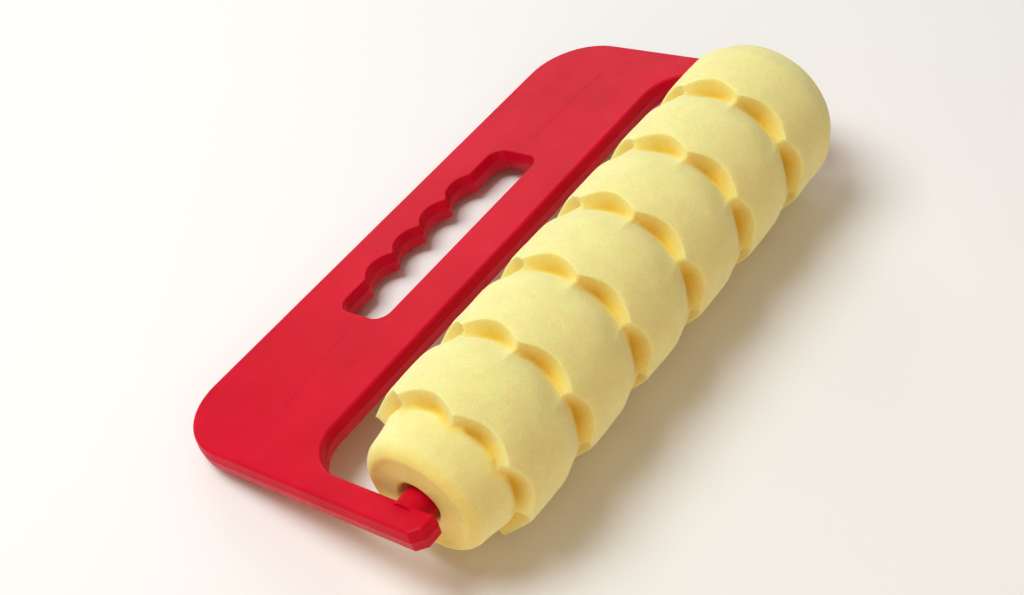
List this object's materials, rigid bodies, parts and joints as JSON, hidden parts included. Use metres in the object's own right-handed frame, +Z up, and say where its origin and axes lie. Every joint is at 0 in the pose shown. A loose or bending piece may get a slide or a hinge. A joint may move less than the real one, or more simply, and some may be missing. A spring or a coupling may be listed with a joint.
{
  "type": "textured foam pattern roller",
  "caption": "Hand-held craft paint roller: a foam sleeve with rows of crescent grooves turns between the arms of a flat moulded frame with a finger-grip slot.",
  "frame": {"origin": "on the surface that the roller rests on, under the middle of the whole object", "axes": "+X along the roller, +Y from the foam sleeve to the handle edge, +Z up"},
  "size_m": [0.207, 0.1148, 0.052],
  "materials": {
    "red_plastic": "opaque crimson moulded plastic, semi-gloss",
    "yellow_foam": "pale yellow fine-celled foam, matt",
    "white_plastic": "natural white extruded plastic"
  },
  "bodies": {
    "frame": {"frame": "red_plastic"},
    "roller": {"foam_sleeve": "yellow_foam", "core_tube": "white_plastic"}
  },
  "joints": [
    {"name": "roller_spin", "type": "hinge", "parent": "frame", "child": "roller", "pos_m": [0, -0.03144, 0.026], "axis": [1, 0, 0], "continuous": true}
  ]
}
